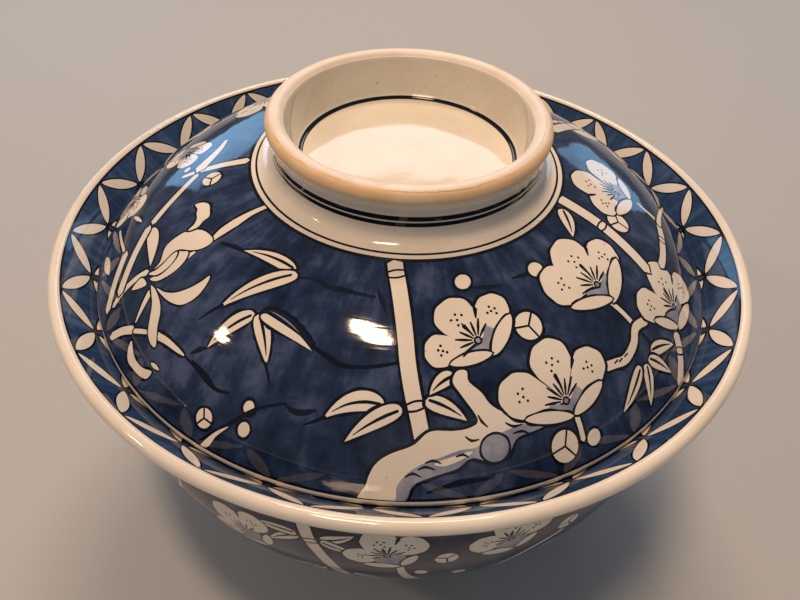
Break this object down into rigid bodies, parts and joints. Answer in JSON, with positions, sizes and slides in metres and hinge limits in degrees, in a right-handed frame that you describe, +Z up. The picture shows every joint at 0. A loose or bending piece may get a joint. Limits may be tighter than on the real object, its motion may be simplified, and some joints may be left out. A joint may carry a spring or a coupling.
{
  "type": "lidded rice bowl",
  "caption": "Deep porcelain rice bowl with a flared rim and a foot ring, and a domed lid that rests inside the rim and lifts off by the ring on its top.",
  "frame": {"origin": "centre of the foot ring, on the surface it rests on", "axes": "+Z up along the axis of the bowl and lid; +X and +Y are level, and -Y is the side shown in front"},
  "size_m": [0.16, 0.16, 0.1103],
  "materials": {
    "bowl_porcelain": "clear gloss glaze over white porcelain, cobalt underglaze painting, white lip",
    "lid_porcelain": "clear gloss glaze over a brushed cobalt ground with white reserved painting; cream ring with an unglazed lip"
  },
  "bodies": {
    "bowl": {"bowl": "bowl_porcelain"},
    "lid": {"lid": "lid_porcelain"}
  },
  "joints": [
    {"name": "lid_lift", "type": "slide", "parent": "bowl", "child": "lid", "axis": [0, 0, 1], "range_m": [0, 0.06]}
  ]
}
